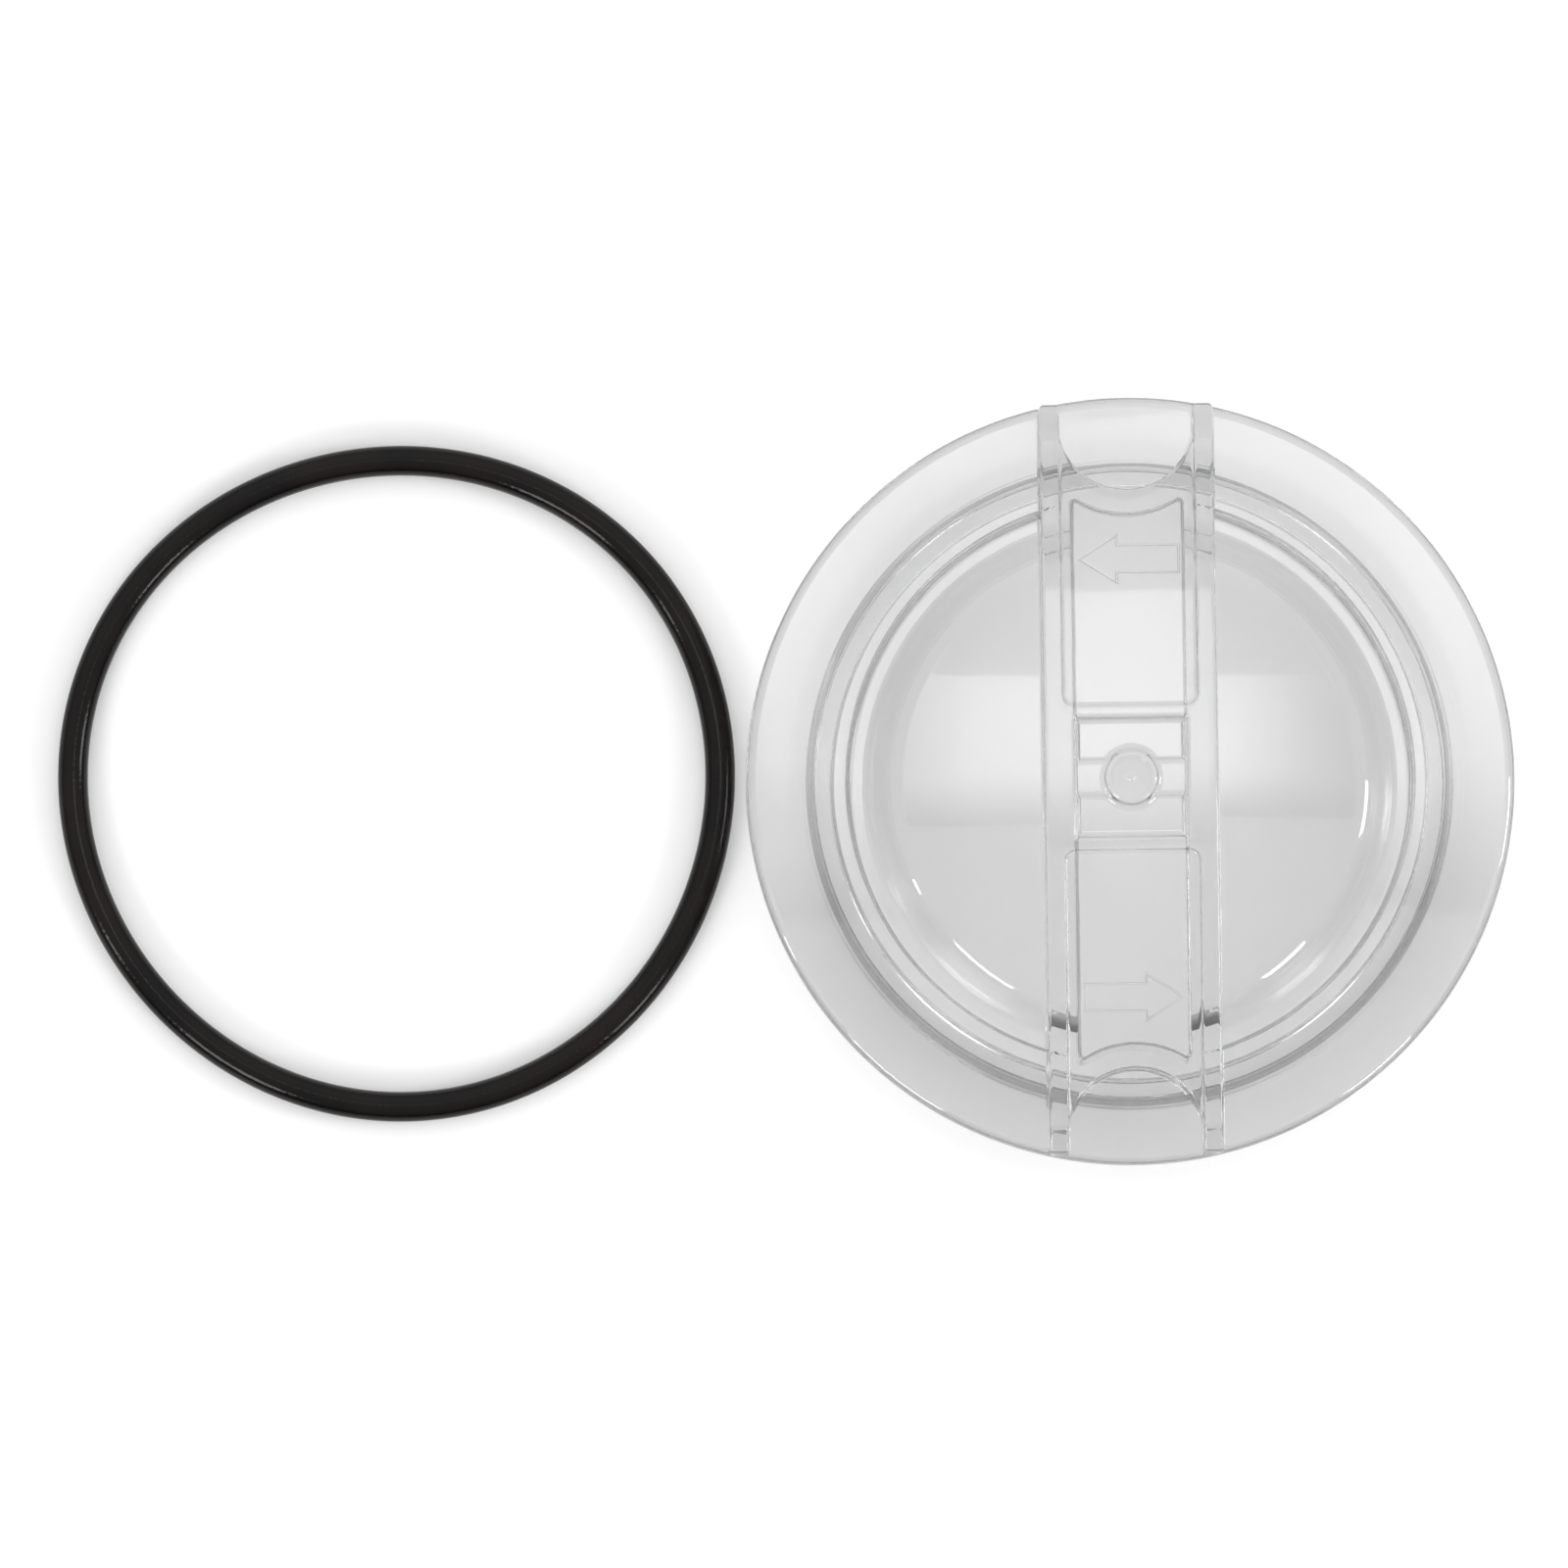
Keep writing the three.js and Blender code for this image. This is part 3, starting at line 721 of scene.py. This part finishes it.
def build_lid():
    """The moulding: shell, threads and handle joined, the core cut out, and the arrows set on."""
    wide, long = HANDLE_HALF_WIDTH + 2, LID_RADIUS
    handle = meshed(
        handle_field, (-wide, -long, VALLEY_TOP - FOOT_DEPTH - 1), (wide, long, HANDLE_TOP + 1),
        CELL, HANDLE_TRIANGLES)
    wide, long = CORE_HALF_WIDTH + 1, SCOOP_CENTRE
    cores = meshed(core_field, (-wide, -long, -1.5), (wide, long, CHANNEL_FLOOR), CORE_CELL, CORE_TRIANGLES)
    others = [(*thread_ridge(start), "UNION") for start in range(THREAD_STARTS)]
    others += [(*handle, "UNION"), (*cores, "DIFFERENCE")]
    others += [(*arrow_ridge(side), "UNION") for side in (-1, 1)]
    points, faces = combined(lathe(shell, AROUND), others)
    normals = corner_normals(points, faces)
    mesh = mesh_of("lid_moulding", points + (LID_AXIS[0], LID_AXIS[1], 0), faces, MM)
    mesh.polygons.foreach_set("use_smooth", np.ones(len(faces), bool))
    mesh.normals_split_custom_set(normals.reshape(-1, 3))
    piece = bpy.data.objects.new("lid_moulding", mesh)
    bpy.context.scene.collection.objects.link(piece)
    return piece


# ---------------------------------------------------------------- O-ring

def build_ring():
    """The cord swept round, a little out of round as a loose rubber ring lies, with a faint mould line."""
    around, across = 720, 64
    turn = np.arange(around) / around * 2 * math.pi
    section = np.arange(across) / across * 2 * math.pi
    wobble = RING_LOBE * np.cos(3 * turn - RING_LOBE_TURN) - RING_DRAWN_IN
    cord = RING_CORD / 2
    line = MOULD_LINE * np.exp(-(np.sin(section) / MOULD_LINE_SPREAD) ** 2) * (np.cos(section) < 0)
    radius = cord + line
    out = RING_MEAN_RADIUS + wobble[:, None] + (radius * np.cos(section))[None, :]
    x = out * np.cos(turn)[:, None]
    y = out * np.sin(turn)[:, None]
    z = np.broadcast_to(cord * np.sin(section), x.shape)
    points = np.stack([x, y, z], 2).reshape(-1, 3)
    i, j = (g.ravel() for g in np.meshgrid(np.arange(around), np.arange(across), indexing="ij"))
    after_i, after_j = (i + 1) % around, (j + 1) % across
    here, ahead = i * across, after_i * across
    faces = np.stack([here + j, ahead + j, ahead + after_j, here + after_j], 1)
    mesh = mesh_of("o_ring_rubber", points + RING_AXIS, faces, MM)
    mesh.polygons.foreach_set("use_smooth", np.ones(len(faces), bool))
    piece = bpy.data.objects.new("o_ring_rubber", mesh)
    bpy.context.scene.collection.objects.link(piece)
    return piece


# ---------------------------------------------------------------- materials

class Nodes:
    """A short way to build a node material."""

    def __init__(self, name):
        self.material = bpy.data.materials.new(name)
        self.material.use_nodes = True
        self.tree = self.material.node_tree
        self.tree.nodes.clear()

    def add(self, kind, **settings):
        node = self.tree.nodes.new(kind)
        for key, value in settings.items():
            if hasattr(node, key):
                setattr(node, key, value)
            else:
                node.inputs[key.replace("_", " ")].default_value = value
        return node

    def link(self, source, target):
        self.tree.links.new(source, target)


def noise(nodes, scale, detail=3.0):
    """Noise that lies still on the piece."""
    place = nodes.add("ShaderNodeTexCoord")
    texture = nodes.add("ShaderNodeTexNoise")
    texture.inputs["Scale"].default_value = scale
    texture.inputs["Detail"].default_value = detail
    nodes.link(place.outputs["Object"], texture.inputs["Vector"])
    return texture.outputs["Fac"]


def ranged(nodes, source, low, high, to_low, to_high):
    """A value mapped from one range to another and kept inside it."""
    node = nodes.add("ShaderNodeMapRange")
    for name, value in (("From Min", low), ("From Max", high), ("To Min", to_low), ("To Max", to_high)):
        node.inputs[name].default_value = value
    nodes.link(source, node.inputs["Value"])
    return node.outputs["Result"]


def combined_value(nodes, operation, a, b):
    node = nodes.add("ShaderNodeMath", operation=operation)
    nodes.link(a, node.inputs[0])
    nodes.link(b, node.inputs[1])
    return node.outputs["Value"]


def product(nodes, a, b):
    return combined_value(nodes, "MULTIPLY", a, b)


def total(nodes, a, b):
    return combined_value(nodes, "ADD", a, b)


def clear_plastic():
    """Polished clear polycarbonate: faint flow ripple, slight haze, grey in the depth, and a base colour
    that is partly painted shade, darker over the flange.
    """
    nodes = Nodes("clear_polycarbonate")
    plastic = nodes.add("ShaderNodeBsdfPrincipled")
    plastic.inputs["Transmission Weight"].default_value = 1.0
    plastic.inputs["IOR"].default_value = 1.585
    polish = ranged(nodes, noise(nodes, 35), 0.3, 0.75, 0.015, 0.04)
    inner = nodes.add("ShaderNodeNewGeometry").outputs["Backfacing"]
    haze = ranged(nodes, inner, 0, 1, 0, 0.07)
    place = nodes.add("ShaderNodeTexCoord")
    from_axis = nodes.add("ShaderNodeVectorMath", operation="SUBTRACT")
    from_axis.inputs[1].default_value = (LID_AXIS[0] * MM, LID_AXIS[1] * MM, 0)
    nodes.link(place.outputs["Object"], from_axis.inputs[0])
    flatten = nodes.add("ShaderNodeVectorMath", operation="MULTIPLY")
    flatten.inputs[1].default_value = (1, 1, 0)
    nodes.link(from_axis.outputs["Vector"], flatten.inputs[0])
    radius = nodes.add("ShaderNodeVectorMath", operation="LENGTH")
    nodes.link(flatten.outputs["Vector"], radius.inputs[0])
    outside = ranged(nodes, radius.outputs["Value"], (BORE_RADIUS - 1) * MM, BORE_RADIUS * MM, 0, 0.08)
    height = nodes.add("ShaderNodeSeparateXYZ")
    nodes.link(place.outputs["Object"], height.inputs["Vector"])
    below = ranged(nodes, height.outputs["Z"], (FLANGE_BOTTOM + 0.3) * MM, FLANGE_BOTTOM * MM, 0, 1)
    land_edge = LAND_OUTER_RADIUS * MM
    within = ranged(nodes, radius.outputs["Value"], land_edge, land_edge + LAND_FADE * MM, 1, 0)
    frost = product(nodes, product(nodes, outside, below), within)
    nodes.link(total(nodes, total(nodes, polish, haze), frost), plastic.inputs["Roughness"])
    # grey base colour: partly the plastic's own tint and partly painted shade. It is lowered overall and
    # darker still over the flange, standing in for the shaded floor seen through the lid.
    tint_and_shade_colour = nodes.add("ShaderNodeCombineColor")
    tint_with_painted_shade = ranged(nodes, radius.outputs["Value"], BORE_RADIUS * MM, (SPIGOT_RADIUS + 3) * MM, 0.71, 0.665)
    for channel in ("Red", "Green", "Blue"):
        nodes.link(tint_with_painted_shade, tint_and_shade_colour.inputs[channel])
    nodes.link(tint_and_shade_colour.outputs["Color"], plastic.inputs["Base Color"])
    ripple = nodes.add("ShaderNodeBump")
    ripple.inputs["Strength"].default_value = 0.05
    ripple.inputs["Distance"].default_value = 0.002
    nodes.link(noise(nodes, 22, 1.0), ripple.inputs["Height"])
    nodes.link(ripple.outputs["Normal"], plastic.inputs["Normal"])
    through = nodes.add("ShaderNodeBsdfTransparent")
    through.inputs["Color"].default_value = (0.88, 0.88, 0.88, 1)
    path = nodes.add("ShaderNodeLightPath")
    mix = nodes.add("ShaderNodeMixShader")
    nodes.link(path.outputs["Is Shadow Ray"], mix.inputs["Fac"])
    nodes.link(plastic.outputs["BSDF"], mix.inputs[1])
    nodes.link(through.outputs["BSDF"], mix.inputs[2])
    depth = nodes.add("ShaderNodeVolumeAbsorption")
    depth.inputs["Color"].default_value = (0.70, 0.71, 0.71, 1)
    depth.inputs["Density"].default_value = 9.0
    out = nodes.add("ShaderNodeOutputMaterial")
    nodes.link(mix.outputs["Shader"], out.inputs["Surface"])
    nodes.link(depth.outputs["Volume"], out.inputs["Volume"])
    return nodes.material


def black_rubber():
    """Moulded nitrile rubber, glossy with a fine unevenness and a warm tint where it catches light."""
    nodes = Nodes("black_nitrile_rubber")
    rubber = nodes.add("ShaderNodeBsdfPrincipled")
    tint = nodes.add("ShaderNodeMix", data_type="RGBA")
    tint.inputs["A"].default_value = (0.0034, 0.0028, 0.0026, 1)
    tint.inputs["B"].default_value = (0.0078, 0.0056, 0.0048, 1)
    nodes.link(ranged(nodes, noise(nodes, 60), 0.35, 0.7, 0, 1), tint.inputs["Factor"])
    nodes.link(tint.outputs["Result"], rubber.inputs["Base Color"])
    nodes.link(ranged(nodes, noise(nodes, 240), 0.3, 0.8, 0.08, 0.17), rubber.inputs["Roughness"])
    rubber.inputs["Specular IOR Level"].default_value = 0.15
    grain = nodes.add("ShaderNodeBump")
    grain.inputs["Strength"].default_value = 0.12
    grain.inputs["Distance"].default_value = 0.0003
    nodes.link(noise(nodes, 900, 2.0), grain.inputs["Height"])
    nodes.link(grain.outputs["Normal"], rubber.inputs["Normal"])
    out = nodes.add("ShaderNodeOutputMaterial")
    nodes.link(rubber.outputs["BSDF"], out.inputs["Surface"])
    return nodes.material


# ---------------------------------------------------------------- the object

lid = build_lid()
lid.data.materials.append(clear_plastic())
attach(lid, "lid")
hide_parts("strainer_lid")

ring = build_ring()
ring.data.materials.append(black_rubber())
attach(ring, "ring")
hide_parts("o_ring")


# ---------------------------------------------------------------- studio

def build_floor():
    """Plain matt paper, a hair under the pair."""
    half = 3.0
    gap = 0.0002
    corners = [(-half, -half, 0), (half, -half, 0), (half, half, 0), (-half, half, 0)]
    mesh = bpy.data.meshes.new("floor")
    mesh.from_pydata(corners, [], [(0, 1, 2, 3)])
    floor = bpy.data.objects.new("floor", mesh)
    floor.location.z = -gap
    bpy.context.scene.collection.objects.link(floor)
    nodes = Nodes("pale_floor")
    paper = nodes.add("ShaderNodeBsdfPrincipled")
    paper.inputs["Base Color"].default_value = (0.93, 0.93, 0.93, 1)
    paper.inputs["Roughness"].default_value = 0.7
    paper.inputs["Specular IOR Level"].default_value = 0.1
    out = nodes.add("ShaderNodeOutputMaterial")
    nodes.link(paper.outputs["BSDF"], out.inputs["Surface"])
    mesh.materials.append(nodes.material)


def area_light(name, place, aim, size, power):
    data = bpy.data.lights.new(name, "AREA")
    data.shape = "RECTANGLE"
    data.size, data.size_y = size
    data.energy = power
    light = bpy.data.objects.new(name, data)
    light.location = place
    light.rotation_euler = (Vector(aim) - Vector(place)).to_track_quat("-Z", "Y").to_euler()
    bpy.context.scene.collection.objects.link(light)


def build_world(horizon, overhead, far_side):
    """Light from above that falls off towards the horizon, more so on the near side than on the far one."""
    world = bpy.data.worlds.new("studio")
    world.use_nodes = True
    tree = world.node_tree
    place = tree.nodes.new("ShaderNodeTexCoord")
    parts = tree.nodes.new("ShaderNodeSeparateXYZ")
    rise = tree.nodes.new("ShaderNodeMapRange")
    rise.interpolation_type = "SMOOTHSTEP"
    for name, value in (("From Min", 0.05), ("From Max", 0.75), ("To Min", horizon), ("To Max", overhead)):
        rise.inputs[name].default_value = value
    tilt = tree.nodes.new("ShaderNodeMath")
    tilt.operation = "MULTIPLY_ADD"
    tilt.inputs[1].default_value = far_side
    tree.links.new(place.outputs["Generated"], parts.inputs["Vector"])
    tree.links.new(parts.outputs["Z"], rise.inputs["Value"])
    tree.links.new(parts.outputs["Y"], tilt.inputs[0])
    tree.links.new(rise.outputs["Result"], tilt.inputs[2])
    tree.links.new(tilt.outputs["Value"], tree.nodes["Background"].inputs["Strength"])
    tree.nodes["Background"].inputs["Color"].default_value = (1, 1, 1, 1)
    bpy.context.scene.world = world


def build_panel():
    """The glowing sheet above the pair, whose mirror image lies on the flat plastic faces."""
    centre, low, high, height = 0.08, 0.045, 0.205, 1.5
    half_width, side_fade, near_fade = 0.30, 0.16, 0.05
    brightness = 3.4
    mesh = bpy.data.meshes.new("panel")
    corners = [(centre - half_width, low), (centre + half_width, low), (centre + half_width, high),
               (centre - half_width, high)]
    mesh.from_pydata([(x, y, height) for x, y in corners], [], [(3, 2, 1, 0)])
    panel = bpy.data.objects.new("panel", mesh)
    bpy.context.scene.collection.objects.link(panel)
    nodes = Nodes("panel_light")
    place = nodes.add("ShaderNodeTexCoord")
    parts = nodes.add("ShaderNodeSeparateXYZ")
    nodes.link(place.outputs["Object"], parts.inputs["Vector"])
    side = nodes.add("ShaderNodeMath", operation="ABSOLUTE")
    shift = nodes.add("ShaderNodeMath", operation="SUBTRACT")
    shift.inputs[1].default_value = centre
    nodes.link(parts.outputs["X"], shift.inputs[0])
    nodes.link(shift.outputs["Value"], side.inputs[0])
    sideways = ranged(nodes, side.outputs["Value"], half_width - side_fade, half_width, 1, 0)
    lengthways = ranged(nodes, parts.outputs["Y"], low, low + near_fade, 0, 1)
    both = nodes.add("ShaderNodeMath", operation="MULTIPLY")
    nodes.link(sideways, both.inputs[0])
    nodes.link(lengthways, both.inputs[1])
    glow = nodes.add("ShaderNodeEmission")
    nodes.link(ranged(nodes, both.outputs["Value"], 0, 1, 0, brightness), glow.inputs["Strength"])
    out = nodes.add("ShaderNodeOutputMaterial")
    nodes.link(glow.outputs["Emission"], out.inputs["Surface"])
    mesh.materials.append(nodes.material)


def build_camera():
    """Far above the pair, a little off upright, and turned so that the handle leans to the left."""
    lean = math.radians(3.4)
    roll = math.radians(0.8)
    distance = 4.0
    view_width = 0.366
    aim = Vector((0, 0.001, 0.015))
    right = Vector((math.cos(roll), -math.sin(roll), 0))
    upward = Vector((math.sin(roll), math.cos(roll), 0))
    back = Vector((0, 0, 1)) * math.cos(lean) - upward * math.sin(lean)
    up = upward * math.cos(lean) + Vector((0, 0, 1)) * math.sin(lean)
    data = bpy.data.cameras.new("camera")
    data.sensor_width = 36
    data.lens = data.sensor_width * distance / view_width
    camera = bpy.data.objects.new("camera", data)
    turn = Matrix((right, up, back)).transposed().to_4x4()
    camera.matrix_world = Matrix.Translation(aim + back * distance) @ turn
    bpy.context.scene.collection.objects.link(camera)
    bpy.context.scene.camera = camera


def lamp(name, azimuth, width, radiance, elevation=30, height=0.45, distance=1.5):
    """A soft box beside the pair, as wide and as bright as its mirror image should be."""
    turn, rise = math.radians(azimuth), math.radians(elevation)
    place = (
        distance * math.cos(rise) * math.cos(turn),
        distance * math.cos(rise) * math.sin(turn),
        distance * math.sin(rise),
    )
    area_light(name, place, (0, 0, 0), (width, height), radiance * math.pi * width * height)


build_floor()
build_world(0.45, 1.0, 0.45)
build_panel()
lamp("left", 232, 0.45, 10)
lamp("far_left", 204, 0.10, 10)
lamp("right", 316, 0.30, 10)
lamp("far_right", 357, 0.28, 10)
build_camera()
bpy.context.scene.view_settings.view_transform = "Standard"
